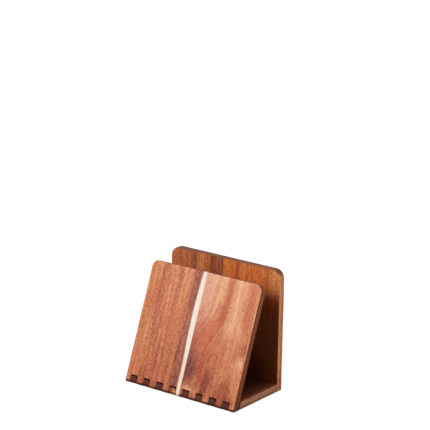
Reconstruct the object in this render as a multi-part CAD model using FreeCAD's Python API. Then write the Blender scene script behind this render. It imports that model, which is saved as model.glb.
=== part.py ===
import FreeCAD, Part
import math
import os

os.makedirs("parts", exist_ok=True)

# An upright napkin holder of oiled acacia: a base, a vertical back board, and a front board that leans
# back over the base. Each board is glued up from staves, and the base is finger-jointed to the other two.
# X runs across the holder, Y from front to back and Z up. The origin is on the table, under the middle
# of the footprint. Lengths are in millimetres and angles in degrees.

# Boards
holder_width = 165.0
holder_depth = 99.0            # from the foremost line of the front board's foot to the rear face
back_height = 153.5
front_slope_length = 155.0     # up the face of the front board, from the table to its top edge
front_lean = 20.7              # how far the front board leans back from upright
board_thickness = 9.8          # all three boards are planed alike
front_corner_radius = 9.0
back_corner_radius = 11.5

# Staves, from left to right, with the last one of each board taking the width that is left
front_stave_widths = [83.5]
back_stave_widths = [31.5, 29.5, 19.5]
base_stave_widths = [62.5, 20.0, 40.0]

# Finger joints
finger_pitch = 20.0
finger_width = 9.6             # the fingers on the ends of the base
least_end_finger = 6.0         # the narrowest finger that an upright board may have at its side
finger_play = 0.15             # between a finger and the side of its slot
front_slot_headroom = 0.7      # over the base's fingers, in the leaning board
back_slot_headroom = 0.15
finger_set_back = 0.7          # the fingers' front ends behind the foremost line of the foot

# Sanded edges
arris_radius = 0.9
foot_radius = 2.5              # along the sharp front edge of the leaning board's foot
finger_foot_radius = 2.2       # along the lower edge of the base's front finger ends
finger_top_radius = 0.35       # along the upper edge of the same ends

overshoot = 5.0                # how far a cutting tool runs past what it cuts

lean = math.radians(front_lean)
up_slope = FreeCAD.Vector(0, math.sin(lean), math.cos(lean))
inward = FreeCAD.Vector(0, math.cos(lean), -math.sin(lean))
across = FreeCAD.Vector(1, 0, 0)
rearward = FreeCAD.Vector(0, 1, 0)
upward = FreeCAD.Vector(0, 0, 1)

# The foot's rounding takes the sharp edge away, so that edge lies ahead of the holder's foremost line.
foot_angle = math.pi / 2 - lean
foot_overhang = foot_radius / math.tan(foot_angle / 2) - foot_radius
sharp_foot = FreeCAD.Vector(0, -holder_depth / 2 - foot_overhang, 0)

half_width = holder_width / 2
rear_face = holder_depth / 2
back_front_face = rear_face - board_thickness
finger_front_end = -holder_depth / 2 + finger_set_back

room_for_fingers = holder_width - 2 * least_end_finger - finger_width
finger_count = int(room_for_fingers // finger_pitch) + 1
first_finger = -finger_pitch * (finger_count - 1) / 2
finger_centres = [first_finger + finger_pitch * index for index in range(finger_count)]


def point(x, y, z):
    return FreeCAD.Vector(x, y, z)


def box(low, high):
    size = high - low
    return Part.makeBox(size.x, size.y, size.z, low)


def prism(corners, direction):
    outline = Part.makePolygon(corners + corners[:1])
    return Part.Face(outline).extrude(direction)


def round_over(radius, start, along, first_face, second_face):
    """Cutting tool that rounds the straight edge from start to start + along.

    first_face and second_face are unit vectors that leave the edge along its two faces.
    """
    half_angle = first_face.getAngle(second_face) / 2
    reach = radius / math.tan(half_angle)
    bisector = (first_face + second_face).normalize()
    run = FreeCAD.Vector(along).normalize() * overshoot
    corner = start - run
    first_touch = corner + first_face * reach
    second_touch = corner + second_face * reach
    crown = corner + bisector * (radius / math.sin(half_angle) - radius)
    clear = bisector * -overshoot
    arc = Part.Arc(first_touch, crown, second_touch).toShape()
    walls = Part.makePolygon([second_touch, second_touch + clear, first_touch + clear, first_touch])
    section = Part.Face(Part.Wire([arc] + walls.Edges))
    return section.extrude(along + run * 2)


def upright_board(height, foot_depth, corner_radius):
    """Board standing on edge: front face on Y = 0, from foot_depth below the table, corners rounded."""
    side = half_width
    turn = corner_radius * (1 - math.sqrt(0.5))
    shoulder = height - corner_radius
    left_arc = Part.Arc(point(-side, 0, shoulder), point(turn - side, 0, height - turn),
                        point(corner_radius - side, 0, height))
    right_arc = Part.Arc(point(side - corner_radius, 0, height), point(side - turn, 0, height - turn),
                         point(side, 0, shoulder))
    outline = Part.Wire([
        Part.makeLine(point(-side, 0, -foot_depth), point(-side, 0, shoulder)),
        left_arc.toShape(),
        Part.makeLine(point(corner_radius - side, 0, height), point(side - corner_radius, 0, height)),
        right_arc.toShape(),
        Part.makeLine(point(side, 0, shoulder), point(side, 0, -foot_depth)),
        Part.makeLine(point(side, 0, -foot_depth), point(-side, 0, -foot_depth)),
    ])
    board = Part.Face(outline).extrude(rearward * board_thickness)
    rim = [edge for edge in board.Edges
           if edge.BoundBox.YLength < board_thickness / 2 and edge.BoundBox.ZMax > -foot_depth / 2]
    return board.makeFillet(arris_radius, rim)


def bottom_side_edges():
    """Tools that ease the lower left and right edges of the whole holder."""
    start = point(0, sharp_foot.y, 0)
    return [round_over(arris_radius, start + across * side * half_width, rearward * 2 * holder_depth,
                       across * -side, upward) for side in (-1, 1)]


def rear_bottom_edge():
    """Tool that eases the lower rear edge of the whole holder."""
    return round_over(arris_radius, point(-half_width, rear_face, 0), across * holder_width,
                      rearward * -1, upward)


def slots(low_y, high_y, headroom):
    """Slots across an upright board's foot, one for each finger of the base."""
    reach = finger_width / 2 + finger_play
    top = board_thickness + headroom
    return [box(point(centre - reach, low_y, -overshoot), point(centre + reach, high_y, top))
            for centre in finger_centres]


def finger_gaps():
    """Left and right side of each space between the base's fingers, the open ones at the sides too."""
    lefts = [-half_width - overshoot] + [centre + finger_width / 2 for centre in finger_centres]
    rights = [centre - finger_width / 2 for centre in finger_centres] + [half_width + overshoot]
    return list(zip(lefts, rights))


def front_board():
    foot_depth = board_thickness * math.tan(lean) + overshoot
    board = upright_board(front_slope_length, foot_depth, front_corner_radius)
    board.rotate(point(0, 0, 0), across, -front_lean)
    board.translate(sharp_foot)
    below_table = box(point(-holder_width, -holder_depth, -2 * foot_depth),
                      point(holder_width, holder_depth, 0))
    foot_edge = round_over(foot_radius, sharp_foot - across * half_width, across * holder_width,
                           rearward, up_slope)
    front_slots = slots(sharp_foot.y - overshoot, 0, front_slot_headroom)
    return board.cut([below_table, foot_edge] + bottom_side_edges() + front_slots)


def back_board():
    board = upright_board(back_height, overshoot, back_corner_radius)
    board.translate(point(0, back_front_face, 0))
    below_table = box(point(-holder_width, 0, -2 * overshoot), point(holder_width, holder_depth, 0))
    back_slots = slots(back_front_face - overshoot, rear_face + overshoot, back_slot_headroom)
    return board.cut([below_table, rear_bottom_edge()] + bottom_side_edges() + back_slots)


def base_board():
    slab = box(point(-half_width, finger_front_end, 0), point(half_width, rear_face, board_thickness))
    front_edge = point(-half_width, finger_front_end, 0)
    lower_ends = round_over(finger_foot_radius, front_edge, across * holder_width, rearward, upward)
    upper_ends = round_over(finger_top_radius, front_edge + upward * board_thickness,
                            across * holder_width, rearward, upward * -1)
    upper_sides = [round_over(arris_radius, point(side * half_width, -holder_depth, board_thickness),
                              rearward * 2 * holder_depth, across * -side, upward * -1)
                   for side in (-1, 1)]
    inner_foot = sharp_foot + inward * board_thickness
    low = inner_foot - up_slope * holder_depth
    high = inner_foot + up_slope * holder_depth
    ahead = rearward * -holder_depth
    gap_cuts = []
    for left, right in finger_gaps():
        shoulder = [corner + across * left for corner in (low, high, high + ahead, low + ahead)]
        gap_cuts.append(prism(shoulder, across * (right - left)))
        gap_cuts.append(box(point(left, back_front_face, -overshoot),
                            point(right, rear_face + overshoot, board_thickness + overshoot)))
    return slab.cut([lower_ends, upper_ends, rear_bottom_edge()] + upper_sides
                    + bottom_side_edges() + gap_cuts)


def staves(board, widths):
    """The board sawn along its glue lines, from left to right."""
    left = -half_width
    lefts = [left]
    for width in widths:
        left += width
        lefts.append(left)
    rights = lefts[1:] + [half_width]
    span = back_height + front_slope_length + holder_depth
    pieces = []
    for left, right in zip(lefts, rights):
        pieces.append(board.common(box(point(left, -span, -span), point(right, span, span))))
    return pieces


boards = {
    "front": staves(front_board(), front_stave_widths),
    "back": staves(back_board(), back_stave_widths),
    "base": staves(base_board(), base_stave_widths),
}

for board_name, board_staves in boards.items():
    for number, stave in enumerate(board_staves, start=1):
        stave.exportStep(f"parts/{board_name}_stave_{number}.step")
        print(board_name, number, "solids", len(stave.Solids), "volume", round(stave.Volume, 1))
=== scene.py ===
import bmesh
import bpy
import math
import numpy as np
from mathutils import Matrix, Vector


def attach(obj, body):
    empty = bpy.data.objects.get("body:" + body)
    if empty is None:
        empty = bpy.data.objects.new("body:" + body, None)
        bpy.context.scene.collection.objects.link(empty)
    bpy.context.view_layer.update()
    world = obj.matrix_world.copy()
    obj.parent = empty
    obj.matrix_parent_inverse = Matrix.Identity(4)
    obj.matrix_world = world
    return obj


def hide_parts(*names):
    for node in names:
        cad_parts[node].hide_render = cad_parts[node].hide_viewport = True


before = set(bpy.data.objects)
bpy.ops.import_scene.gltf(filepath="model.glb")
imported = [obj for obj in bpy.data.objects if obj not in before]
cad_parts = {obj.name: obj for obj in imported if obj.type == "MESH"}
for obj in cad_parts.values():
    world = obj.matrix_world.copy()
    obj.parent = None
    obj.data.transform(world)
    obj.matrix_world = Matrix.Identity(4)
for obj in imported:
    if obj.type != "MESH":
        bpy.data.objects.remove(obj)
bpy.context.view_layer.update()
print("frame loaded,", len(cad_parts), "staves")

# Napkin holder: three boards of oiled acacia, each glued up from staves. The base is finger-jointed to
# a vertical back board and to a front board that leans back over it. Lengths are in millimetres until a
# mesh is written. Every board has its own directions: across it, along its grain, and depth, counted
# from its show face, which is the front of the uprights and the top of the base.
metre = 0.001
lean = math.radians(20.7)
thickness = 9.8
halfWidth = 82.5
rearJoint = 39.7             # where the back board's front face stands
fingerPitch = 20.0
fingerCentres = fingerPitch * np.arange(-3.5, 4)

frontBoard = {
    "origin": (0.0, -50.617, 0.0),       # the sharp line of the foot, before it is rounded
    "turn": lean,                        # how far the board is turned from upright
    "across": (1.0, 0.0, 0.0),
    "along": (0.0, math.sin(lean), math.cos(lean)),
    "depth": (0.0, math.cos(lean), -math.sin(lean)),
    "top": 155.0,
    "cornerRadius": 9.0,
    "slotTop": 10.5,
    "slotHalfWidth": 4.95,
    "footRound": 2.5,        # front edge of the foot
    "heelRound": 0.0,        # rear edge of the foot
}

backBoard = {
    "origin": (0.0, rearJoint, 0.0),
    "turn": 0.0,
    "across": (1.0, 0.0, 0.0),
    "along": (0.0, 0.0, 1.0),
    "depth": (0.0, 1.0, 0.0),
    "top": 153.5,
    "cornerRadius": 11.5,
    "slotTop": 9.95,
    "slotHalfWidth": 4.95,
    "footRound": 0.0,
    "heelRound": 0.9,
}

baseBoard = {
    "origin": (0.0, 0.0, thickness),
    "turn": math.radians(90),
    "across": (1.0, 0.0, 0.0),
    "along": (0.0, 1.0, 0.0),
    "depth": (0.0, 0.0, -1.0),
    "fingerHalfWidth": 4.8,
    "fingerCorner": 0.45,    # sanded upright corners of a finger's end
    "frontEnd": -48.8,
    "frontSetBacks": (0.05, 0.2, 0.0, 0.12, 0.25, 0.08, 0.16, 0.02),   # hand-sanded, so no two alike
    "frontToeRound": 2.2,
    "frontTopRound": 0.35,
    "rearRoot": rearJoint,
    "rearEnd": 49.5,
    "rearHeelRound": 0.9,
}

arris = {
    "least": 0.9,
    "extra": 0.35,           # how much more the sandpaper took in places
    "footExtra": 0.3,
    "waves": ((0.071, 0.0, 0.9), (-0.17, 0.113, 0.0)),   # radians for each one across, along, and a start
    "bottomCorner": 1.25,
}

meshing = {
    "edgeStep": 4.0,         # between the points of an edge that has an arris
    "sawnStep": 30.0,        # between those of the sawn edges where staves meet, which are flat
    "oneStep": 100.0,        # for a run with no points between its ends
    "sideStart": 12.0,       # height at which an upright's side is clear of its foot
    "sawnStart": 16.0,       # the same for a sawn edge
    "sawnEnd": 8.0,          # where a left sawn edge starts, below the top
    "inset": 1.5,            # room for the arris at the ends of the base's joints
    "baseSideStart": -30.0,  # where the base's side is clear of the sloping joint
    "merge": 0.002,
    "sharpFrom": 35.0,       # degrees
}


# Outlines. A row of an outline is: across, along, which end line it follows, and the direction
# (across, along) in which the sanded arris draws it in. An end line of 0 means a plain point.
plain, foot, root, toe, heel = range(5)


def onePoint(place, line, turn):
    # a run of a single point
    return np.array([[*place, line, *turn]], float)


def straightRun(start, end, line, turn, step=meshing["edgeStep"]):
    # points from start towards end in equal steps, without the end itself
    start, end = np.array(start, float), np.array(end, float)
    count = max(1, int(np.ceil(np.linalg.norm(end - start) / step)))
    share = np.arange(count)[:, None] / count
    points = start + share * (end - start)
    return np.hstack([points, np.full((count, 1), line), np.tile(turn, (count, 1))])


def roundCorner(centre, radius, startAngle, endAngle, line, turn=None, count=9):
    # points of a circle's arc, without its last one; the arris draws them towards the centre
    angle = np.radians(startAngle + (endAngle - startAngle) * np.arange(count) / count)
    ray = np.column_stack([np.cos(angle), np.sin(angle)])
    inward = -ray if turn is None else -ray * np.array(turn)
    return np.hstack([np.array(centre) + radius * ray, np.full((count, 1), line), inward])


def uprightOutline(board, left, right):
    # anticlockwise from the lower left, seen from the front: foot and slots, right edge, top, left edge
    top, corner, low = board["top"], board["cornerRadius"], arris["bottomCorner"]
    slotTop, slotHalf = board["slotTop"], board["slotHalfWidth"]
    oneStep, sawnStep = meshing["oneStep"], meshing["sawnStep"]
    sideStart, sawnStart = meshing["sideStart"], meshing["sawnStart"]
    atLeft, atRight = left <= -halfWidth, right >= halfWidth
    runs = []
    if atLeft:
        runs.append(roundCorner((left + low, low), low, 180, 270, foot, turn=(1, 0), count=5))
    here = left + low if atLeft else left
    last = right - low if atRight else right
    for centre in fingerCentres:
        slotLeft, slotRight = centre - slotHalf, centre + slotHalf
        if slotRight <= left or slotLeft >= right:
            continue
        if slotLeft > left:
            runs += [straightRun((here, 0), (slotLeft, 0), foot, (0, 0)),
                     straightRun((slotLeft, 0), (slotLeft, slotTop), foot, (0, 0), oneStep)]
        start, here = max(slotLeft, left), min(slotRight, right)
        runs.append(straightRun((start, slotTop), (here, slotTop), foot, (0, 0), oneStep))
        if slotRight < right:
            runs.append(straightRun((here, slotTop), (here, 0), foot, (0, 0), oneStep))
    endsInSlot = here >= right
    if not endsInSlot:
        runs.append(straightRun((here, 0), (last, 0), foot, (0, 0)))
    if atRight:
        runs += [roundCorner((right - low, low), low, 270, 360, foot, turn=(1, 0), count=5),
                 onePoint((right, low), foot, (-1, 0)),
                 straightRun((right, sideStart), (right, top - corner), plain, (-1, 0)),
                 roundCorner((right - corner, top - corner), corner, 0, 90, plain)]
        start = right - corner
    else:
        runs += [onePoint((right, slotTop if endsInSlot else 0), foot, (0, 0)),
                 straightRun((right, sawnStart), (right, top), plain, (0, 0), sawnStep)]
        start = right
    if atLeft:
        runs += [straightRun((start, top), (left + corner, top), plain, (0, -1)),
                 roundCorner((left + corner, top - corner), corner, 90, 180, plain),
                 straightRun((left, top - corner), (left, sideStart), plain, (1, 0)),
                 onePoint((left, sideStart), plain, (1, 0))]
    else:
        runs += [straightRun((start, top), (left, top), plain, (0, -1)),
                 onePoint((left, top), plain, (0, -1)),
                 straightRun((left, top - meshing["sawnEnd"]), (left, sawnStart), plain, (0, 0), sawnStep)]
    return np.vstack(runs)


def baseOutline(board, left, right):
    # anticlockwise from the front left, seen from above: front fingers, right side, rear ones, left side
    half, soft, oneStep = board["fingerHalfWidth"], board["fingerCorner"], meshing["oneStep"]
    innerLeft, innerRight = left + meshing["inset"], right - meshing["inset"]
    fingers = [(centre - half, centre + half, board["frontEnd"] + back)
               for centre, back in zip(fingerCentres, board["frontSetBacks"]) if left < centre < right]
    front = [onePoint((left, 0), root, (1 if left <= -halfWidth else 0, 0))]
    here = innerLeft
    for low, high, end in fingers:
        front += [straightRun((here, 0), (low, 0), root, (0, 0)),
                  straightRun((low, 0), (low, end + soft), root, (0, 0), oneStep),
                  roundCorner((low + soft, end + soft), soft, 180, 270, toe, turn=(0, 0), count=4),
                  roundCorner((high - soft, end + soft), soft, 270, 360, toe, turn=(0, 0), count=4),
                  straightRun((high, end + soft), (high, 0), toe, (0, 0), oneStep)]
        here = high
    front.append(straightRun((here, 0), (innerRight, 0), root, (0, 0)))
    rear = []
    here = innerRight
    rootLine, end = board["rearRoot"], board["rearEnd"]
    for low, high, _ in reversed(fingers):
        rear += [straightRun((here, rootLine), (high, rootLine), plain, (0, 0)),
                 straightRun((high, rootLine), (high, end), plain, (0, 0), oneStep),
                 straightRun((high, end), (low, end), heel, (0, 0)),
                 straightRun((low, end), (low, rootLine), heel, (0, 0), oneStep)]
        here = low
    rear.append(straightRun((here, rootLine), (innerLeft, rootLine), plain, (0, 0)))
    sideStart = meshing["baseSideStart"]
    turn = (-1 if right >= halfWidth else 0, 0)
    rightSide = [onePoint((right, 0), root, turn),
                 straightRun((right, sideStart), (right, rootLine), plain, turn),
                 onePoint((right, rootLine), plain, turn)]
    turn = (1 if left <= -halfWidth else 0, 0)
    leftSide = [straightRun((left, rootLine), (left, sideStart), plain, turn),
                onePoint((left, sideStart), plain, turn)]
    return np.vstack(front + rightSide + rear + leftSide)


def quarterRound(radius, distance):
    # how far a rounded edge draws back at a distance from the face it blends into: r - sqrt(r2 - (r-d)2)
    inside = np.clip(radius - distance, 0, None)
    return np.where(inside > 0, radius - np.sqrt(np.clip(radius ** 2 - inside ** 2, 0, None)), 0)


def footLine(board, height, depth, extra):
    # lower end of a leaning board: the table's plane, and the rounds of its front and rear edges
    slope = board["turn"]
    along = (height + depth * math.sin(slope)) / math.cos(slope)
    if board["footRound"]:
        radius = board["footRound"] + extra
        centre = radius * (1 + math.sin(slope)) / math.cos(slope)
        reach = np.clip(radius ** 2 - (depth - radius) ** 2, 0, None)
        nose = np.where(depth < radius * (1 + math.sin(slope)), centre - np.sqrt(reach), 0)
        nose = np.where(depth < radius, nose, np.minimum(nose, centre))
        along = np.maximum(along, nose)
    if board["heelRound"]:
        along = np.maximum(along, quarterRound(board["heelRound"], thickness - depth))
    return along


def depthSteps():
    # rings through the board's thickness: close together where an edge is rounded
    angle = np.radians(np.arange(0, 91, 10))
    near = (arris["least"] + arris["extra"]) * (1 - np.cos(angle))
    middle = np.array([1.6, 2.0, 2.4, 2.8, 3.2, 3.6, 4.9, 6.2, 7.4, 7.9])
    return np.concatenate([near, middle, thickness - near[::-1]])


def staveMesh(name, board, outline):
    # The stave is a function of the place on its outline and of the depth. Across and along come from the
    # outline, drawn in by the arris, whose radius changes slowly, and the ends follow the joint's planes.
    depth = depthSteps()[None, :]
    across0, along0, line, turnAcross, turnAlong = (column[:, None] for column in outline.T)
    waves = [np.sin(sideways * across0 + lengthways * along0 + start)
             for sideways, lengthways, start in arris["waves"]]
    wear = 0.5 + 0.5 * np.mean(waves, axis=0)
    radius = arris["least"] + arris["extra"] * wear
    drawn = quarterRound(radius, depth) + quarterRound(radius, thickness - depth)
    along = along0 + 0 * depth
    if board is baseBoard:
        rearPlane = frontBoard["origin"][1] + thickness / math.cos(lean)
        rootLine = rearPlane + (thickness - depth) * math.tan(lean)
        toeLine = along0 + quarterRound(board["frontToeRound"], thickness - depth)
        toeLine = toeLine + quarterRound(board["frontTopRound"], depth)
        heelLine = along0 - quarterRound(board["rearHeelRound"], thickness - depth)
        along = np.where(line == root, rootLine + 0 * along0, along)
        along = np.where(line == toe, toeLine, along)
        along = np.where(line == heel, heelLine, along)
    else:
        standing = footLine(board, along0, depth, arris["footExtra"] * wear)
        along = np.where(line == foot, standing, along)
    across = across0 + drawn * turnAcross
    along = along + drawn * turnAlong
    axes = [np.array(board[axis]) for axis in ("across", "along", "depth")]
    points = (np.array(board["origin"]) + across[..., None] * axes[0] + along[..., None] * axes[1]
              + (depth + 0 * across)[..., None] * axes[2])
    index = np.arange(points.shape[0] * points.shape[1]).reshape(points.shape[:2])
    following = np.roll(index, -1, axis=0)
    rim = np.stack([index[:, :-1], index[:, 1:], following[:, 1:], following[:, :-1]], axis=-1)
    faces = rim.reshape(-1, 4).tolist() + [index[:, 0].tolist(), index[::-1, -1].tolist()]
    mesh = bpy.data.meshes.new(name)
    mesh.from_pydata((points.reshape(-1, 3) * metre).tolist(), [], faces)
    shell = bmesh.new()
    shell.from_mesh(mesh)
    bmesh.ops.remove_doubles(shell, verts=shell.verts, dist=meshing["merge"] * metre)
    bmesh.ops.dissolve_degenerate(shell, edges=shell.edges, dist=meshing["merge"] * metre)
    shell.to_mesh(mesh)
    shell.free()
    mesh.shade_smooth()
    mesh.set_sharp_from_angle(angle=math.radians(meshing["sharpFrom"]))
    return mesh


def linearColour(hexCode):
    # sRGB hex value to the linear colour that the nodes work in
    channels = [int(hexCode[place:place + 2], 16) / 255 for place in (0, 2, 4)]
    return [channel / 12.92 if channel <= 0.04045 else ((channel + 0.055) / 1.055) ** 2.4
            for channel in channels] + [1.0]


def addObject(name, data):
    # a new object, linked to the scene, that shows a mesh, a lamp or a camera
    thing = bpy.data.objects.new(name, data)
    bpy.context.scene.collection.objects.link(thing)
    return thing


def emptyTree(owner):
    # the node tree of a material or a world, with nothing in it
    owner.use_nodes = True
    owner.node_tree.nodes.clear()
    return owner.node_tree


def addNode(tree, kind, sockets=None, **settings):
    # One node with its settings. A socket is named, or numbered where several in use share a name. A
    # node that is given to it is linked by its first output in use.
    node = tree.nodes.new("ShaderNode" + kind)
    for setting, value in settings.items():
        setattr(node, setting, value)
    for key, value in (sockets or {}).items():
        named = [socket for socket in node.inputs if socket.enabled and socket.name == key]
        socket = named[0] if named else node.inputs[key]
        if isinstance(value, bpy.types.Node):
            value = next(output for output in value.outputs if output.enabled)
        if isinstance(value, bpy.types.NodeSocket):
            tree.links.new(value, socket)
        else:
            socket.default_value = value
    return node


def span(pair):
    # the two ends of a range, as a Map Range node takes them
    return {"From Min": pair[0], "From Max": pair[1]}


eased = {"interpolation_type": "SMOOTHSTEP"}     # for a Map Range node that starts and ends gently
asColour = {"data_type": "RGBA"}                 # for a Mix node that mixes colours
timesPlus = {"operation": "MULTIPLY_ADD"}        # for a Math node: the first times the second, plus the third


# Tones of oiled acacia: sapwood is nearly white, heartwood runs from honey to plum-brown in one board.
tones = {
    "sapwood": "FFF0E2",
    "sapWarm": "FFE4CE",
    "cream": "F8BD95",
    "shell": "F0B08C",
    "salmon": "E39A72",
    "straw": "EFAE82",
    "blush": "E4A385",
    "peach": "E59A72",
    "honey": "DF9766",
    "wheat": "DC8C65",
    "amber": "D3825A",
    "ember": "D47757",
    "brick": "C76F51",
    "russet": "C16F53",
    "rosewood": "B15D44",
    "brickDark": "AF6754",
    "plum": "9D4E43",
    "mauve": "B27261",
    "plumDark": "8A5246",
    "umber": "8A4F43",
    "ochre": "D2916B",
    "knot": "B26449",
    "orange": "D17138",
    "golden": "CF773F",
    "apricot": "DA8A50",
    "tawny": "B86940",
    "rust": "AD5F3A",
    "redRust": "AF512D",
    "bark": "9C5539",
    "chestnut": "994F31",
    "cocoa": "7A3F26",
    "hazel": "AC7352",
    # the next tone is painted shade on the back board's sides near the table
    "drab": "AC6E4A",
    "hazelPale": "B8836A",
    "hazelDeep": "965F3E",
    # the next tone is painted shade on the front board's sides near the table
    "edgeRed": "783115",
    "edgeFoot": "79381E",
    "edgeBrown": "7C3E20",
    # the next two are tones of painted shade on the inner faces
    "innerBrown": "8A522F",
    "innerDark": "522A18",
    "endPlum": "6A423A",
    "endBrown": "784B3D",
    "endRose": "74433A",
    "endRust": "A05E4A",
    "endGold": "F2A870",
    "endSap": "C79E7B",
    # the next two are tones of painted shade beside the joints
    "scorch": "481204",
    "scorchDeep": "34120A",
    # a tone of painted shade under the foot
    "footShadeDark": "4C231D",
    # a tone of painted shade for the inner corner
    "cornerShadeBlack": "34190D",
}
linear = {tone: linearColour(code) for tone, code in tones.items()}

# Acacia's figure in millimetres: across, along, and how many finer layers the noise has. Vessels are
# 0.2 mm wide and 1 to 3 mm long, too fine to show from here, so dashes and pores are drawn larger.
figure = {
    "wander": (38.0, 150.0, 1),
    "ripple": (9.0, 34.0, 2),
    "line": (1.1, 42.0, 2),
    "streak": (2.6, 70.0, 3),
    "wideStreak": (6.5, 130.0, 2),
    "fleck": (0.75, 1.9, 2),
    "mottle": (1.6, 4.6, 2),
    "cloud": (11.0, 22.0, 3),
    "fade": (7.0, 38.0, 2),
    "dash": (0.6, 3.6, 1),
    "endPore": (0.5, 0.5, 1),
}

# What every stave's finish has in common, in millimetres. A pair says where something starts and where
# it is there in full: heights over the table, distances from the middle, levels of a pattern, or how
# squarely a surface faces a direction, where 1 is straight at it.
finish = {
    "seedShift": 3.7,        # the shifts only keep the patterns of the staves apart
    "seedDepthShift": 1.3,
    "patternShift": 11.3,
    "layering": 0.6,         # how strong each finer layer of a pattern is
    "bandFray": 40.0,        # how far lower and upper bands run into each other
    "fadeLevels": (0.42, 0.66),
    "dashLevels": (0.57, 0.72),
    "smudged": (5.0, 24.0),  # fray of a stain's edge, across and along
    "crisp": (1.4, 0.0),     # the same for one that is less soft than the next line says
    "smudgeFrom": 0.25,
    "sapwoodCalm": 0.85,     # how much of the figure sapwood hides
    "face": (0.3, 0.6),      # less is the side
    # painted shade on the sides: the heights where it starts and where it is full
    "sideFoot": (36.0, 6.0),
    # a pale line along the arrises: partly wear, partly painted highlight
    "wearAndHighlightEdge": (80.8, 81.3),
    "wearAndHighlightTone": "straw",
    "wearAndHighlightRise": (0.2, 80.0),  # share of the pale arris, wear and painted highlight, at the table, and the height from which it is all there
    # painted shade inside: how squarely an inner face turns, then the darkest corner's sides, heights, share
    # and tone
    "inner": (0.6, 0.9),
    "cornerShadeSides": (77.0, 48.0),
    "cornerShadeHeights": (66.0, 10.0),
    "cornerShadeShare": 0.85,
    "cornerShadeTone": "cornerShadeBlack",
    "jointShadeCore": 0.3,       # the part of the painted joint shade's width that is dark all through
    "jointShadeShare": 0.95,
    "poreDepth": (0.75, 0.5),            # least gamma of end grain, and how much its pores add
    # painted shade along the foot: the heights where it starts and where it is full
    "footShadeHeights": (4.8, 3.2),
    "wipedRoughness": 0.44,
    "rougher": {"mottle": 0.14, "vessel": 0.12, "endGrain": 0.1, "unwiped": 0.42},
    "relief": {"streak": 0.5, "mottle": 0.25, "vessel": -0.7},
    "reliefStrength": 0.35,
    "reliefDistance": 0.00025,           # metres
    "ior": 1.45,
}


def woodSpace(tree, board):
    # The board's own directions, the height over the table and the distance from the middle, all in
    # millimetres, and how squarely the surface faces as the show face does and along the grain.
    source = addNode(tree, "TexCoord")
    placed = addNode(tree, "Mapping", {
        "Vector": source.outputs["Object"], "Scale": [1 / metre] * 3, "Rotation": (board["turn"], 0, 0),
        "Location": [-np.dot(board[axis], board["origin"]) for axis in ("across", "depth", "along")]})
    across, depth, along = addNode(tree, "SeparateXYZ", {"Vector": placed}).outputs
    upward = addNode(tree, "SeparateXYZ", {"Vector": source.outputs["Object"]}).outputs["Z"]
    wood = {"board": board, "across": across, "depth": depth, "along": along}
    wood["height"] = addNode(tree, "Math", {0: upward, 1: 1 / metre}, operation="MULTIPLY")
    wood["offCentre"] = addNode(tree, "Math", {0: across}, operation="ABSOLUTE")
    outward = [-part for part in board["depth"]]
    for measure, direction in (("facing", outward), ("endOn", board["along"])):
        wood[measure] = addNode(tree, "VectorMath", {0: source.outputs["Normal"], 1: direction},
                                operation="DOT_PRODUCT")
    return wood


def drawFigure(tree, wood, look):
    # The grain coordinate, bent as the real grain is, and the patterns of the figure. Each pattern is
    # drawn out along the grain as it lies by then, and the first two bend the grain for the rest.
    grain = addNode(tree, "Math", {0: wood["depth"], 1: look["tilt"], 2: wood["across"]}, **timesPlus)
    wood["tilted"] = grain
    if "sweep" in look:
        # going down, the grain fans out from a line that stays still, most of all between two heights
        sweep = look["sweep"]
        gentle = addNode(tree, "MapRange", {
            "Value": wood["along"], **span((frontBoard["top"], 0.0)), "To Max": sweep["gentle"]})
        turning = addNode(tree, "MapRange", {
            "Value": wood["along"], **span(sweep["heights"]), "To Max": sweep["turn"]}, **eased)
        swing = addNode(tree, "Math", {0: gentle, 1: turning}, operation="ADD")
        fan = addNode(tree, "MapRange", {
            "Value": wood["across"], **span((sweep["still"], sweep["still"] - sweep["width"]))}, clamp=False)
        grain = addNode(tree, "Math", {0: swing, 1: fan, 2: grain}, **timesPlus)
    seed, pattern = look["seed"], {}
    for number, (size, (wide, long, layers)) in enumerate(figure.items()):
        grained = addNode(tree, "CombineXYZ", {"X": grain, "Y": wood["depth"], "Z": wood["along"]})
        shift = seed * finish["seedShift"] + number * finish["patternShift"]
        spread = addNode(tree, "Mapping", {
            "Vector": grained, "Scale": (1 / wide, 1 / wide, 1 / long),
            "Location": (shift, seed * finish["seedDepthShift"], -shift)})
        pattern[size] = addNode(tree, "TexNoise", {
            "Vector": spread, "Scale": 1.0, "Detail": layers, "Roughness": finish["layering"]})
        if size in look["bends"]:
            stray = look["bends"][size]
            bent = addNode(tree, "Math", {0: pattern[size], 1: stray, 2: -0.5 * stray}, **timesPlus)
            grain = addNode(tree, "Math", {0: grain, 1: bent}, operation="ADD")
    pattern["vessel"] = addNode(tree, "MapRange", {
        "Value": pattern["dash"], **span(finish["dashLevels"])}, **eased)
    wood["grain"], wood["pattern"] = grain, pattern


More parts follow.
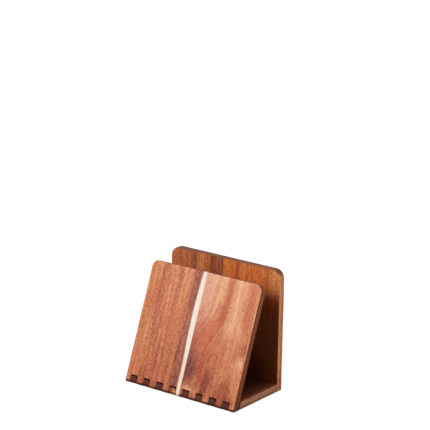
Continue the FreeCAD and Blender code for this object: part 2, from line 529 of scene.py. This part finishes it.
def bandedColours(tree, wood, look):
    # bands of colour: across the upper part, across the lower part, and through the edge at the side
    pattern, fray = wood["pattern"], look["fray"]
    fibres = addNode(tree, "Math", {0: pattern["streak"], 1: fray, 2: -0.5 * fray}, **timesPlus)
    fibres = addNode(tree, "Math", {0: wood["grain"], 1: fibres}, operation="ADD")
    banded = {}
    for part, measure in (("bands", fibres), ("lowerBands", fibres), ("sideBands", wood["depth"])):
        bands = look.get(part, look["bands"])
        low, high = bands[0][0], bands[-1][0]
        position = addNode(tree, "MapRange", {"Value": measure, **span((low, high))})
        banded[part] = addNode(tree, "ValToRGB", {"Fac": position})
        stops = banded[part].color_ramp.elements
        for number, (where, tone) in enumerate(bands):
            place = (where - low) / (high - low)
            stop = stops[number] if number < 2 else stops.new(place)      # a ramp starts with two
            stop.position = place
            stop.color = linear[tone]
    bandFray = finish["bandFray"]
    uneven = addNode(tree, "Math", {0: pattern["cloud"], 1: bandFray, 2: wood["along"]}, **timesPlus)
    upper = addNode(tree, "MapRange", {
        "Value": uneven, **span([height + 0.5 * bandFray for height in look["changeover"]])}, **eased)
    colour = addNode(tree, "Mix", {"Factor": upper, "A": banded["lowerBands"], "B": banded["bands"]},
                     **asColour)
    faded = addNode(tree, "MapRange", {
        "Value": pattern["fade"], **span(finish["fadeLevels"]), "To Max": look["fade"]}, **eased)
    colour = addNode(tree, "Mix", {"Factor": faded, "A": colour, "B": linear[look["body"]]}, **asColour)
    return colour, banded["sideBands"]


def stainedColour(tree, wood, look, colour):
    # Stains and flames: soft-edged ellipses laid along the grain and frayed by it. Sapwood is one too,
    # and it is smooth: the figure hardly shows in it.
    pattern, frayed = wood["pattern"], {}
    for edge in ("smudged", "crisp"):
        frayAcross, frayAlong = finish[edge]
        across = addNode(tree, "Math", {0: pattern["streak"], 1: frayAcross, 2: wood["tilted"]},
                         **timesPlus)
        along = addNode(tree, "Math", {0: pattern["cloud"], 1: frayAlong, 2: wood["along"]}, **timesPlus)
        frayed[edge] = addNode(tree, "CombineXYZ", {"X": across, "Y": along})
    wood["calm"] = 1.0
    for centre, size, turn, soft, tone, strength in look["stains"]:
        edge = "smudged" if soft > finish["smudgeFrom"] else "crisp"
        place = [middle + 0.5 * fray for middle, fray in zip(centre, finish[edge])]
        spot = addNode(tree, "Mapping", {
            "Vector": frayed[edge], "Location": (*place, 0), "Rotation": (0, 0, math.radians(turn)),
            "Scale": (*size, 1)}, vector_type="TEXTURE")
        length = addNode(tree, "VectorMath", {0: spot}, operation="LENGTH")
        cover = addNode(tree, "MapRange", {
            "Value": length, **span((1.0, 1.0 - soft)), "To Max": strength}, **eased)
        colour = addNode(tree, "Mix", {"Factor": cover, "A": colour, "B": linear[tone]}, **asColour)
        if tone == "sapwood":
            clear = addNode(tree, "Math", {0: cover, 1: -finish["sapwoodCalm"], 2: 1.0}, **timesPlus)
            wood["calm"] = addNode(tree, "Math", {0: clear, 1: wood["calm"]}, operation="MULTIPLY")
    return colour


def edgedColour(tree, wood, look, colour, sideColour):
    # the edges show long grain cut through the board's thickness, with painted shade on the sides near the
    # table, and a pale arris that is partly wear and partly painted highlight
    facing, height = wood["facing"], wood["height"]
    least, most = finish["face"]
    sideShare = addNode(tree, "MapRange", {
        "Value": addNode(tree, "Math", {0: facing}, operation="ABSOLUTE"), **span((most, least))})
    sideShare = addNode(tree, "Math", {0: sideShare, 1: wood["calm"]}, operation="MULTIPLY")
    # painted shade on the sides near the table
    nearTable = addNode(tree, "MapRange", {
        "Value": height, **span(finish["sideFoot"]), "To Max": look["sideFootShare"]}, **eased)
    sideColour = addNode(tree, "Mix", {
        "Factor": nearTable, "A": sideColour, "B": linear[look["sideFoot"]]}, **asColour)
    colour = addNode(tree, "Mix", {"Factor": sideShare, "A": colour, "B": sideColour}, **asColour)
    # a pale line along the arrises, partly wear and partly painted highlight, less of it near the table
    towardsFace = addNode(tree, "MapRange", {
        "Value": facing, **span((least, most)), "To Max": look["edgeWear"]})
    atEdge = addNode(tree, "MapRange", {"Value": wood["offCentre"], **span(finish["wearAndHighlightEdge"])})
    atTable, fromHeight = finish["wearAndHighlightRise"]
    wearAndHighlightRise = addNode(tree, "MapRange", {"Value": height, "From Max": fromHeight, "To Min": atTable})
    wearAndHighlight = addNode(tree, "Math", {0: towardsFace, 1: atEdge}, operation="MULTIPLY")
    wearAndHighlight = addNode(tree, "Math", {0: wearAndHighlight, 1: wearAndHighlightRise}, operation="MULTIPLY")
    return addNode(tree, "Mix", {"Factor": wearAndHighlight, "A": colour, "B": linear[finish["wearAndHighlightTone"]]}, **asColour)


def deepenedColour(tree, wood, look, colour):
    # Growth lines, flecks, mottle and vessels deepen the colour. Oil does that in two ways: a gamma
    # makes it redder, and a lower value makes it darker.
    depths = look["depths"]
    middle = 1.0 - 0.5 * sum(depths.values())
    # painted light and shade: the colour is deeper at the foot and lighter at the top, as the light falls
    deepness = addNode(tree, "MapRange", {
        "Value": wood["along"], **span((0.0, frontBoard["top"])),
        "To Min": middle + look["lowShade"], "To Max": middle + look["topShade"]})
    for size, amount in {**depths, "vessel": look["vessel"]}.items():
        deepness = addNode(tree, "Math", {0: wood["pattern"][size], 1: amount, 2: deepness}, **timesPlus)
    beyond = addNode(tree, "Math", {0: deepness, 1: 1.0}, operation="SUBTRACT")
    deepness = addNode(tree, "Math", {0: beyond, 1: wood["calm"], 2: 1.0}, **timesPlus)
    value = addNode(tree, "Math", {0: deepness, 1: -look["darkening"], 2: 1.0 + look["darkening"]},
                    **timesPlus)
    colour = addNode(tree, "Gamma", {"Color": colour, "Gamma": deepness})
    return addNode(tree, "HueSaturation", {"Color": colour, "Value": value})


def insideShadeColour(tree, wood, look, colour):
    # Painted shade on the inner faces, which are also duller: low down on the uprights, and away from the
    # open sides on the base. The corner between the boards gets the darkest painted shade.
    reach = wood["offCentre"] if wood["board"] is baseBoard else wood["along"]
    inner = addNode(tree, "MapRange", {
        "Value": wood["facing"], **span([look["innerSide"] * turned for turned in finish["inner"]])})
    deepIn = addNode(tree, "MapRange", {
        "Value": reach, **span(look["innerLine"]), "To Max": look["innerShare"]}, **eased)
    wood["unwiped"] = addNode(tree, "Math", {0: inner, 1: deepIn}, operation="MULTIPLY")
    colour = addNode(tree, "Mix", {
        "Factor": wood["unwiped"], "A": colour, "B": linear[look["innerTone"]]}, **asColour)
    # painted shade: the corner between the boards, low down and far in, is darkest
    farIn = addNode(tree, "MapRange", {
        "Value": wood["offCentre"], **span(finish["cornerShadeSides"]), "To Max": finish["cornerShadeShare"]}, **eased)
    lowDown = addNode(tree, "MapRange", {"Value": wood["height"], **span(finish["cornerShadeHeights"])}, **eased)
    corner = addNode(tree, "Math", {0: farIn, 1: lowDown}, operation="MULTIPLY")
    corner = addNode(tree, "Math", {0: corner, 1: wood["unwiped"]}, operation="MULTIPLY")
    return addNode(tree, "Mix", {"Factor": corner, "A": colour, "B": linear[finish["cornerShadeTone"]]},
                   **asColour)


def jointShadedColour(tree, wood, look, colour):
    # painted shade beside the joints: along the slots of the uprights, and where the base meets the boards
    board, along = wood["board"], wood["along"]
    if board is baseBoard:
        frontRoot = addNode(tree, "Math", {0: along, 1: look["frontRoot"]}, operation="ADD")
        frontRoot = addNode(tree, "Math", {0: wood["depth"], 1: math.tan(lean), 2: frontRoot}, **timesPlus)
        rearRoot = addNode(tree, "Math", {0: look["rearRoot"], 1: along}, operation="SUBTRACT")
        joint = addNode(tree, "Math", {0: frontRoot, 1: rearRoot}, operation="MINIMUM")
    else:
        pitch = addNode(tree, "Math", {0: wood["across"], 1: fingerPitch, 2: 0.0}, operation="WRAP")
        fromFinger = addNode(tree, "Math", {0: pitch, 1: 0.5 * fingerPitch}, operation="SUBTRACT")
        fromFinger = addNode(tree, "Math", {0: fromFinger}, operation="ABSOLUTE")
        besideSlot = addNode(tree, "Math", {0: fromFinger, 1: board["slotHalfWidth"]}, operation="SUBTRACT")
        overSlot = addNode(tree, "Math", {0: wood["height"], 1: board["slotTop"]}, operation="SUBTRACT")
        joint = addNode(tree, "Math", {0: besideSlot, 1: overSlot}, operation="MAXIMUM")
    scorch = look["scorch"]
    jointShaded = addNode(tree, "MapRange", {
        "Value": joint, **span((scorch, finish["jointShadeCore"] * scorch)),
        "To Max": finish["jointShadeShare"]})
    return addNode(tree, "Mix", {"Factor": jointShaded, "A": colour, "B": linear[look["scorchTone"]]},
                   **asColour)


def endGrainColour(tree, wood, look, colour):
    # end grain drinks the oil: dark, purplish, with growth rings and pin-prick pores
    pattern = wood["pattern"]
    endShare = addNode(tree, "MapRange", {
        "Value": addNode(tree, "Math", {0: wood["endOn"]}, operation="ABSOLUTE"),
        **span(look["endEdge"]), "To Max": look["endShare"]}, **eased)
    centre, halfRing, sway, firstTone, secondTone = look["rings"]
    ringed = addNode(tree, "Math", {0: pattern["streak"], 1: sway, 2: wood["grain"]}, **timesPlus)
    ringed = addNode(tree, "Math", {0: ringed, 1: 0.5 * sway}, operation="SUBTRACT")
    share = addNode(tree, "MapRange", {
        "Value": ringed, **span((centre - halfRing, centre + halfRing))})
    rings = addNode(tree, "Mix", {"Factor": share, "A": linear[firstTone], "B": linear[secondTone]},
                    **asColour)
    leastGamma, poreGamma = finish["poreDepth"]
    drunk = addNode(tree, "Math", {0: pattern["endPore"], 1: poreGamma, 2: leastGamma}, **timesPlus)
    rings = addNode(tree, "Gamma", {"Color": rings, "Gamma": drunk})
    rings = addNode(tree, "Mix", {"Factor": wood["calm"], "A": linear["endSap"], "B": rings}, **asColour)
    wood["endGrain"] = endShare
    return addNode(tree, "Mix", {"Factor": endShare, "A": colour, "B": rings}, **asColour)


def footShadeColour(tree, wood, look, colour):
    # the foot's rounded underside is end grain in shade: a dark line of painted shade runs along it and under
    # the fingers, but not on sapwood
    footShadeLine = addNode(tree, "MapRange", {
        "Value": wood["height"], **span(finish["footShadeHeights"]), "To Max": look["footStrip"]})
    where = wood["endGrain"] if wood["board"] is baseBoard else wood["calm"]
    footShadeLine = addNode(tree, "Math", {0: footShadeLine, 1: where}, operation="MULTIPLY")
    return addNode(tree, "Mix", {"Factor": footShadeLine, "A": colour, "B": linear["footShadeDark"]}, **asColour)


def acaciaOiled(name, board, look):
    # Oiled acacia, planed, sanded and wiped with oil: bands of colour along the grain, open dashes of
    # vessels, a soft mottle where the grain interlocks, a low satin shine, and dark thirsty end grain.
    material = bpy.data.materials.new(name)
    tree = emptyTree(material)
    wood = woodSpace(tree, board)
    drawFigure(tree, wood, look)
    colour, sideColour = bandedColours(tree, wood, look)
    colour = stainedColour(tree, wood, look, colour)
    colour = edgedColour(tree, wood, look, colour, sideColour)
    for treatment in (deepenedColour, insideShadeColour, jointShadedColour, endGrainColour, footShadeColour):
        colour = treatment(tree, wood, look, colour)
    layers = {**wood["pattern"], "endGrain": wood["endGrain"], "unwiped": wood["unwiped"]}
    roughness = finish["wipedRoughness"]
    for layer, amount in finish["rougher"].items():
        roughness = addNode(tree, "Math", {0: layers[layer], 1: amount, 2: roughness}, **timesPlus)
    relief = 0.0
    for layer, amount in finish["relief"].items():
        relief = addNode(tree, "Math", {0: layers[layer], 1: amount, 2: relief}, **timesPlus)
    bump = addNode(tree, "Bump", {
        "Height": relief, "Strength": finish["reliefStrength"], "Distance": finish["reliefDistance"]})
    shader = addNode(tree, "BsdfPrincipled", {
        "Base Color": colour, "Roughness": roughness, "Normal": bump, "IOR": finish["ior"],
        "Specular IOR Level": look["specular"]})
    addNode(tree, "OutputMaterial", {"Surface": shader})
    return material


# The figure that all staves share. A stave's own dictionary adds to it or changes it. Rings are where
# one tone of end grain turns into another, half the width of that change, how far the streaks move it,
# and the two tones. Moved far enough, each finger's end has one of them by chance.
anyRing = 400.0
commonLook = {
    "tilt": 0.35,            # millimetres that the bands shift for each one of depth
    "bends": {"wander": 3.0, "ripple": 1.6},     # millimetres that the grain strays
    "fray": 3.0,             # millimetres that the fibres of one band run into the next
    "depths": {"line": 0.25, "streak": 0.5, "wideStreak": 0.25, "fleck": 0.45, "mottle": 0.6,
               "cloud": 0.25},
    "vessel": 0.25,
    "specular": 0.22,
    "darkening": 0.9,        # how much value goes for each step of gamma
    "lowShade": 0.0,         # painted light and shade: how much deeper the colour is at the foot, and at the top
    "topShade": 0.0,
    "sideFoot": "hazel",     # the tone of painted shade on the sides near the table, and how much of it there is
    "sideFootShare": 0.85,
    "body": "amber",         # the tone that the bands fade into in places
    "fade": 0.5,
    "changeover": (-100.0, -90.0),   # heights between which the lower bands turn into the upper ones
    "footStrip": 0.0,        # how much of the foot's painted shade line there is
    "edgeWear": 0.5,
    "innerSide": 1.0,        # which way the inner face looks: 1 as the show face does, -1 the other way
    # painted shade on the inner faces: where it starts and where it is full, its share and its tone
    "innerLine": (142.0, 98.0),
    "innerShare": 0.0,
    "innerTone": "innerBrown",
    "scorch": 0.5,           # millimetres of painted shade beside a joint
    "scorchTone": "scorch",
    "endEdge": (0.6, 0.9),   # how far a face turns towards the grain before end grain shows
    "endShare": 0.85,
    "rings": (0.0, 0.1, anyRing, "endPlum", "endBrown"),
    "stains": (),
}

# A band is (across, tone). A stain is (centre, half size, turn in degrees, softness, tone, strength),
# and its centre and size are (across, along).
frontLook = dict(
    commonLook, footStrip=0.92, specular=0.1, endEdge=(0.35, 0.75), sideFoot="edgeFoot", innerSide=-1.0,
    innerShare=0.7, edgeWear=0.9,
    sideBands=((0, "edgeRed"), (3.6, "edgeRed"), (4.5, "rust"), (5.3, "edgeBrown"),
               (8.2, "edgeBrown"), (9.0, "bark"), (9.8, "bark")),
)
frontStave1 = dict(
    frontLook, seed=1.0, lowShade=0.08, topShade=-0.11, fade=0.35, vessel=0.4,
    depths={"line": 0.5, "streak": 0.62, "wideStreak": 0.36, "fleck": 0.8, "mottle": 0.42, "cloud": 0.12},
    bands=((-83, "honey"), (-78, "amber"), (-66, "amber"), (-61, "russet"), (-56, "russet"),
           (-51, "amber"), (-46, "ember"), (-41, "amber"), (-38.5, "russet"), (-35.5, "russet"),
           (-32, "amber"), (-26, "amber"), (-20, "amber"), (-18, "russet"), (-16.8, "brickDark"),
           (-15.6, "russet"), (-14.4, "plumDark"), (-13.2, "brickDark"), (-12, "russet"),
           (-10.6, "plumDark"), (-9.2, "brickDark"), (-7.4, "plumDark"), (-5.6, "mauve"), (1, "mauve")),
    stains=(((-62, 36), (11, 60), 0, 0.8, "amber", 0.85),
            ((-45.5, 34), (6, 46), 0, 0.8, "russet", 0.9),
            ((-25, 16), (6, 32), 0, 0.8, "russet", 0.7),
            ((-63, 46), (5, 44), 0, 0.8, "honey", 0.75),
            ((-70.5, 24), (3.5, 42), 0, 0.8, "brick", 0.6),
            ((-45, 128), (4, 42), 0, 0.8, "russet", 0.65),
            ((-40, 12), (4, 10), 0, 0.8, "russet", 0.8),
            ((-20, 66), (4, 26), 0, 0.8, "salmon", 0.4),
            ((44, 80), (49.8, 900), 0, 0.035, "straw", 0.55),
            ((0, 97), (7.8, 77), 0, 0.25, "straw", 0.55),
            ((44, 80), (48.25, 900), 0, 0.02, "sapwood", 1.0),
            ((0, 97), (6.6, 71), 0, 0.14, "sapwood", 1.0),
            ((-1.4, 12), (3.2, 46), 0, 0.25, "sapWarm", 0.85)),
)
frontStave2 = dict(
    frontLook, seed=2.0, topShade=-0.1, lowShade=0.08, fade=0.15, vessel=0.3,
    depths={"line": 0.5, "streak": 0.34, "wideStreak": 0.15, "fleck": 0.42, "mottle": 0.2, "cloud": 0.12},
    sweep={"gentle": 12.0, "turn": 22.0, "heights": (118.0, 58.0), "still": 62.0, "width": 61.0},
    bands=((0, "blush"), (11, "blush"), (14.5, "shell"), (20, "blush"), (23.5, "salmon"),
           (28, "straw"), (32.5, "straw"), (35.5, "amber"), (42, "brick"), (46, "honey"), (50, "straw"),
           (54, "cream"), (57, "peach"), (64, "peach"), (67.5, "amber"), (74, "ember"), (79, "wheat"),
           (84, "honey")),
    lowerBands=((0, "brickDark"), (14, "russet"), (30, "brick"), (44, "brick"), (50, "amber"),
                (58, "wheat"), (66, "amber"), (72, "wheat"), (78, "amber"), (84, "amber")),
    changeover=(72.0, 108.0),
    stains=(((11, 110), (16, 20), -10, 0.9, "blush", 0.85),
            ((37, 108), (8, 36), -8, 1.0, "brick", 0.9),
            ((30, 116), (9, 20), -14, 0.9, "ember", 0.7),
            ((25, 89), (20, 38), -18, 0.9, "ember", 0.95),
            ((13, 91), (11, 22), -14, 0.9, "brick", 0.7),
            ((40, 128), (7, 18), 0, 0.9, "ember", 0.4),
            ((53, 100), (10, 26), 0, 0.9, "straw", 0.8),
            ((68, 90), (8, 12), 0, 0.9, "peach", 0.7),
            ((2, 60), (15, 36), -8, 0.9, "brickDark", 0.9),
            ((6, 38), (17, 28), -14, 0.9, "umber", 1.0),
            ((35, 27), (10, 32), -6, 0.9, "plum", 0.95),
            ((60, 16), (14, 18), 0, 0.4, "rosewood", 0.8),
            ((71, 10), (11, 12), 0, 0.8, "rosewood", 0.8),
            ((17, 24), (7, 14), -16, 0.9, "ochre", 0.8),
            ((14, 15), (14, 11), -20, 0.8, "ochre", 0.95),
            ((20, 13), (6, 9), -10, 0.9, "straw", 0.4),
            ((11, 13), (11, 8), -10, 0.8, "straw", 0.9),
            ((47, 22), (12, 17), -10, 0.9, "russet", 0.85),
            ((65, 93), (5, 16), 10, 0.9, "shell", 0.6),
            ((67, 43), (13, 10), 0, 0.9, "peach", 0.6),
            ((67, 51), (8, 9), 0, 0.9, "straw", 0.6),
            ((76, 57), (8, 13), 8, 0.7, "straw", 0.9),
            ((78.5, 76), (7, 10), 0, 0.7, "knot", 0.95),
            ((5, 108), (6, 13), -8, 0.9, "brick", 0.45),
            ((63, 130), (4, 14), 0, 0.9, "ember", 0.8),
            ((68.5, 101), (3.5, 11), 0, 0.9, "straw", 0.5)),
)

backLook = dict(
    commonLook, body="tawny", innerShare=0.75, innerLine=(131.0, 93.0), topShade=-0.05, specular=0.02,
    endEdge=(0.2, 0.75), sideFoot="drab",
    sideBands=((0, "honey"), (4.6, "amber"), (5.6, "tawny"), (9.8, "amber")),
)
backStave1 = dict(
    backLook, seed=3.0,
    bands=((-83, "rust"), (-74, "tawny"), (-66, "rust"), (-58, "rust"), (-54, "tawny"), (-46, "rust")),
)
backStave2 = dict(
    backLook, seed=4.0, fade=0.3,
    bands=((-52, "bark"), (-47.5, "bark"), (-45, "cocoa"), (-42, "tawny"), (-36, "golden"),
           (-30, "tawny"), (-23, "rust"), (-16, "rust")),
)
backStave3 = dict(
    backLook, seed=5.0, fade=0.2, body="chestnut",
    bands=((-22, "cocoa"), (-20.2, "chestnut"), (-18.2, "cocoa"), (-17, "chestnut"), (-12, "bark"),
           (-6, "chestnut"), (-2, "cocoa"), (4, "cocoa")),
)
backStave4 = dict(
    backLook, seed=6.0, body="orange", fade=0.2,
    bands=((-3, "orange"), (16, "orange"), (18, "redRust"), (19, "rosewood"), (20, "redRust"),
           (22.5, "orange"), (30, "golden"), (38, "orange"), (59, "orange"), (60.2, "chestnut"),
           (61, "golden"), (64, "golden"), (64.8, "chestnut"), (65.6, "golden"), (76, "apricot"),
           (86, "apricot")),
    # the lower bands are darker and redder: painted shade under the front board's top
    lowerBands=((-3, "tawny"), (14, "redRust"), (19, "chestnut"), (24, "redRust"), (52, "redRust"),
                (66, "chestnut"), (84, "redRust")),
    changeover=(114.0, 146.0),
)
baseLook = dict(
    commonLook, body="bark", edgeWear=0.35, sideFootShare=0.0, specular=0.02, footStrip=0.9,
    innerShare=0.9, innerLine=(80.0, 64.0), innerTone="innerDark", scorch=3.2, scorchTone="scorchDeep",
    frontRoot=36.1,          # where the painted shade starts at the top of the sloping joint, ahead of the middle
    rearRoot=41.8,           # and behind it: past the rear joint, so that its line stays faint
    sideBands=((0, "hazelPale"), (2.6, "hazelPale"), (3.6, "hazel"), (4.6, "hazelPale"), (6.0, "hazelDeep"),
               (9.8, "hazelDeep")),
)
baseStave1 = dict(
    baseLook, seed=7.0, rings=(0.0, 0.1, anyRing, "endRose", "endBrown"),
    bands=((-83, "rust"), (-60, "bark"), (-45, "rust"), (-30, "bark"), (-16, "rust")),
)
baseStave2 = dict(
    baseLook, seed=8.0, body="amber", tilt=0.8,
    rings=(-5.5, 2.0, 3.0, "endRust", "endGold"),
    bands=((-21, "amber"), (-10, "wheat"), (5, "amber")),
)
baseStave3 = dict(
    baseLook, seed=9.0,
    bands=((-1, "bark"), (14, "chestnut"), (28, "bark"), (45, "bark")),
)
baseStave4 = dict(
    baseLook, seed=10.0, rings=(0.0, 0.1, anyRing, "endPlum", "endPlum"),
    bands=((39, "bark"), (52, "chestnut"), (64, "bark"), (76, "cocoa"), (80, "bark"), (86, "rust")),
)

# Every stave: its name, its board, its left and right edges, the CAD node that it stands for, its slot and
# its look.
staves = (
    ("frontStaveLeft", frontBoard, (-halfWidth, 1.0), "front_stave_1", "acacia_amber", frontStave1),
    ("frontStaveRight", frontBoard, (1.0, halfWidth), "front_stave_2", "acacia_amber", frontStave2),
    ("backStaveA", backBoard, (-halfWidth, -51.0), "back_stave_1", "acacia_russet", backStave1),
    ("backStaveB", backBoard, (-51.0, -21.5), "back_stave_2", "acacia_russet", backStave2),
    ("backStaveC", backBoard, (-21.5, -2.0), "back_stave_3", "acacia_dark", backStave3),
    ("backStaveD", backBoard, (-2.0, halfWidth), "back_stave_4", "acacia_amber", backStave4),
    ("baseStaveA", baseBoard, (-halfWidth, -20.0), "base_stave_1", "acacia_russet", baseStave1),
    ("baseStaveB", baseBoard, (-20.0, 0.0), "base_stave_2", "acacia_amber", baseStave2),
    ("baseStaveC", baseBoard, (0.0, 40.0), "base_stave_3", "acacia_russet", baseStave3),
    ("baseStaveD", baseBoard, (40.0, halfWidth), "base_stave_4", "acacia_russet", baseStave4),
)

for name, board, (left, right), node, slot, look in staves:
    outlineOf = baseOutline if board is baseBoard else uprightOutline
    stave = addObject(name, staveMesh(name, board, outlineOf(board, left, right)))
    stave.data.materials.append(acaciaOiled(name + "AcaciaOiled", board, look))
    shading = stave.modifiers.new("faceWeightedNormals", "WEIGHTED_NORMAL")
    shading.keep_sharp = True
    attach(stave, "root")
    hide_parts(node)
print("staves built:", len(staves))


def seenAsItIs(tree):
    # 1 for the rays that show the white of the studio: the camera's, mirrored ones and those through glass
    rays = addNode(tree, "LightPath").outputs
    seen = addNode(tree, "Math", {0: rays["Is Camera Ray"], 1: rays["Is Glossy Ray"]}, operation="MAXIMUM")
    return addNode(tree, "Math", {0: seen, 1: rays["Is Transmission Ray"]}, operation="MAXIMUM")


# Floor: a plain white sweep. The camera sees it white, with the holder's shadow on it. Lengths in metres.
floorLook = {
    "size": 24.0,
    "glow": 0.92,
    "colour": "8C8C8C",
    "shadeCentre": (0.0, 0.001, 0.0),        # the patch that the holder stands on
    "shadeHalf": (0.0815, 0.0475, 0.0),
    "shadeEdge": 0.0005,
}


def paintedBoard(look):
    # matt white paint: it bounces light evenly, and to the camera it glows enough to read as white
    material = bpy.data.materials.new("floorMattPaint")
    tree = emptyTree(material)
    paint = addNode(tree, "BsdfDiffuse", {"Color": linearColour(look["colour"])})
    strength = addNode(tree, "Math", {0: seenAsItIs(tree), 1: look["glow"]}, operation="MULTIPLY")
    # the paint beneath the holder stays in its shade, so nothing glows through the joints
    place = addNode(tree, "TexCoord").outputs["Object"]
    place = addNode(tree, "VectorMath", {0: place, 1: look["shadeCentre"]}, operation="SUBTRACT")
    place = addNode(tree, "VectorMath", {0: place}, operation="ABSOLUTE")
    beyond = addNode(tree, "VectorMath", {0: place, 1: look["shadeHalf"]}, operation="SUBTRACT")
    beyond = addNode(tree, "SeparateXYZ", {"Vector": beyond}).outputs
    outside = addNode(tree, "Math", {0: beyond["X"], 1: beyond["Y"]}, operation="MAXIMUM")
    lit = addNode(tree, "MapRange", {"Value": outside, **span((0.0, look["shadeEdge"]))})
    strength = addNode(tree, "Math", {0: strength, 1: lit}, operation="MULTIPLY")
    glow = addNode(tree, "Emission", {"Strength": strength})
    both = addNode(tree, "AddShader", {0: paint, 1: glow})
    addNode(tree, "OutputMaterial", {"Surface": both})
    return material


half = floorLook["size"] / 2
floorMesh = bpy.data.meshes.new("floor")
floorMesh.from_pydata([(-half, -half, 0), (half, -half, 0), (half, half, 0), (-half, half, 0)], [],
                      [(0, 1, 2, 3)])
floorMesh.materials.append(paintedBoard(floorLook))
floor = addObject("floor", floorMesh)
print("floor laid")

# Studio: soft boxes as (place, aim, size, watts), in metres, and the strength of the white all round.
lamps = {
    "keySoftBox": ((-1.7, -2.5, 2.1), (0.0, 0.0, 0.08), 1.3, 105.0),
    "topSoftBox": ((0.2, 0.1, 2.6), (0.0, 0.0, 0.1), 1.2, 4.0),
    "sideSoftBox": ((2.6, 0.6, 0.4), (0.0, 0.0, 0.08), 0.8, 31.0),
    "rearSoftBox": ((-1.4, 2.7, 0.7), (0.0, 0.0, 0.08), 1.4, 26.0),
}
ambient = 0.22

for name, (place, aim, size, watts) in lamps.items():
    light = bpy.data.lights.new(name, "AREA")
    light.shape = "SQUARE"
    light.size = size
    light.energy = watts
    lamp = addObject(name, light)
    lamp.location = place
    lamp.rotation_euler = (Vector(aim) - Vector(place)).to_track_quat("-Z", "Y").to_euler()

bpy.context.scene.world = bpy.data.worlds.new("studioWhite")
sky = emptyTree(bpy.context.scene.world)
strength = addNode(sky, "MapRange", {"Value": seenAsItIs(sky), "To Min": ambient, "To Max": 1.0})
background = addNode(sky, "Background", {"Color": (1, 1, 1, 1), "Strength": strength})
addNode(sky, "OutputWorld", {"Surface": background})
print("studio lit")

view = {
    "azimuth": 36.76,        # degrees
    "elevation": 15.76,
    "roll": 1.05,
    "distance": 2.22047,     # metres
    "target": (0.0140, -0.00055, 0.21958),
    "lens": 156.73,          # millimetres
    "sensor": 36.0,
    "farthest": 60.0,        # metres
}
azimuth, elevation, roll = (math.radians(view[angle]) for angle in ("azimuth", "elevation", "roll"))
back = Vector((math.sin(azimuth) * math.cos(elevation), -math.cos(azimuth) * math.cos(elevation),
               math.sin(elevation)))
side = Vector((0, 0, 1)).cross(back).normalized()
up = back.cross(side)
rolledSide = side * math.cos(roll) + up * math.sin(roll)
rolledUp = up * math.cos(roll) - side * math.sin(roll)
turned = Matrix((rolledSide, rolledUp, back)).transposed().to_4x4()
camera = addObject("camera", bpy.data.cameras.new("camera"))
camera.data.sensor_width = view["sensor"]
camera.data.lens = view["lens"]
camera.data.clip_end = view["farthest"]
camera.matrix_world = Matrix.Translation(Vector(view["target"]) + back * view["distance"]) @ turned
bpy.context.scene.camera = camera
bpy.context.scene.view_settings.view_transform = "Standard"
print("camera set")
